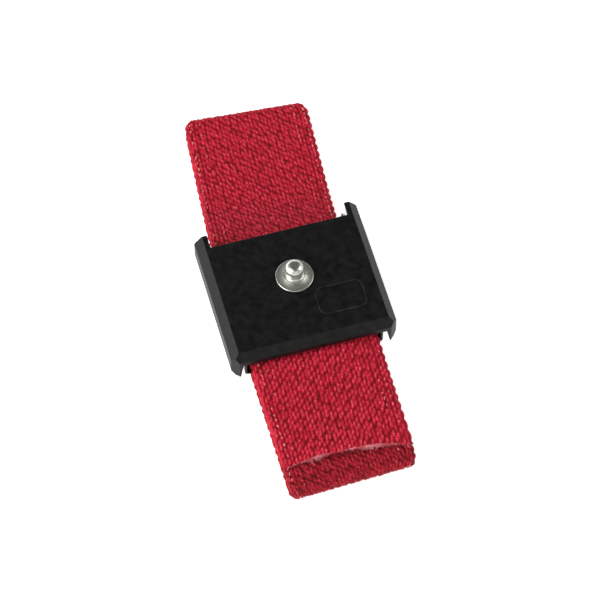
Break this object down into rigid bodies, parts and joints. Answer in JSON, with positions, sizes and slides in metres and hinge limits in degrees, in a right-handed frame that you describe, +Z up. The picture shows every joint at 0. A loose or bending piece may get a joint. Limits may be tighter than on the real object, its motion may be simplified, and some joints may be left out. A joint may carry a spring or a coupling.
{
  "type": "antistatic wrist strap",
  "caption": "Elastic webbing wrist loop with a flip-cover buckle, a steel skin plate and a snap stud for an earthing cord.",
  "frame": {"origin": "middle of the base of the whole object as it lies flat, on the surface it lies on", "axes": "+Z up through the snap stud's side, +Y along the webbing towards the fold on its fixed end's side, +X across the webbing"},
  "size_m": [0.0342, 0.0912, 0.0146],
  "materials": {
    "webbing": "knitted elastic webbing, crimson, matt",
    "thread": "sewn polyester thread, red",
    "stainless": "rolled stainless sheet and rod",
    "black_plastic": "fine spark-eroded moulded texture",
    "nickel_plate": "bright nickel plate",
    "spring_steel": "bright rolled strip"
  },
  "bodies": {
    "buckle_base": {"back_plate": "stainless", "anchor_bar": "stainless", "adjuster_bar": "stainless", "strap": "webbing", "anchor_stitching": "thread"},
    "cover_group": {"cover": "black_plastic", "snap_stud": "nickel_plate", "stud_rivet": "nickel_plate", "rivet_washer": "nickel_plate", "contact_spring": "spring_steel"}
  },
  "joints": [
    {"name": "cover_hinge", "type": "hinge", "parent": "buckle_base", "child": "cover_group", "pos_m": [0, 0.0095, 0.0056], "axis": [-1, 0, 0], "range_deg": [0, 90]}
  ]
}
